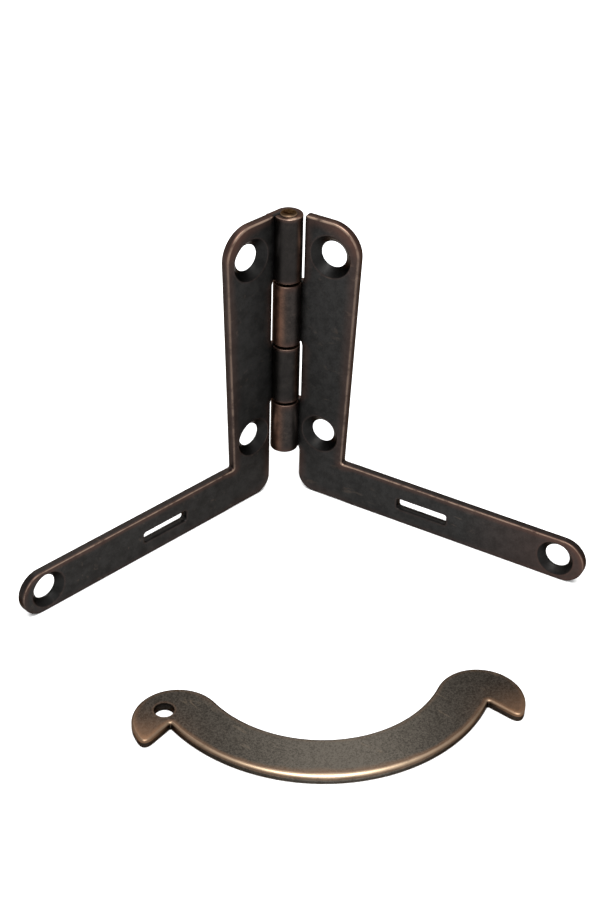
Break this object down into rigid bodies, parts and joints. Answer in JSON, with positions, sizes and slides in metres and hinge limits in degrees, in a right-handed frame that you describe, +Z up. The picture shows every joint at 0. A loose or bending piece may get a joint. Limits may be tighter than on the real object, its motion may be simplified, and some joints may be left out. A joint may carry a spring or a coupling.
{
  "type": "scissor hinge",
  "caption": "Small box hinge with L-shaped leaves on a rolled barrel, slotted arms, and a loose curved stay with hooked ends that holds a lid open.",
  "frame": {"origin": "on the pin's axis at floor level, where the arms' lower edges stand", "axes": "+Z up the pin; the fixed leaf points along -X with its countersunk face towards -Y; the swinging leaf opens by turning about +Z"},
  "size_m": [0.053, 0.0476, 0.0362],
  "materials": {
    "leaf_plate": "antique copper plate, edges rubbed",
    "pin_steel": "antique copper plate",
    "stay_plate": "antique copper plate, rubbed brighter"
  },
  "bodies": {
    "fixed": {"fixed_leaf": "leaf_plate", "hinge_pin": "pin_steel", "quadrant_stay": "stay_plate"},
    "swing": {"swing_leaf": "leaf_plate"}
  },
  "joints": [
    {"name": "leaf_swing", "type": "hinge", "parent": "fixed", "child": "swing", "pos_m": [0, 0, 0], "axis": [0, 0, 1], "range_deg": [-105, 158]}
  ]
}
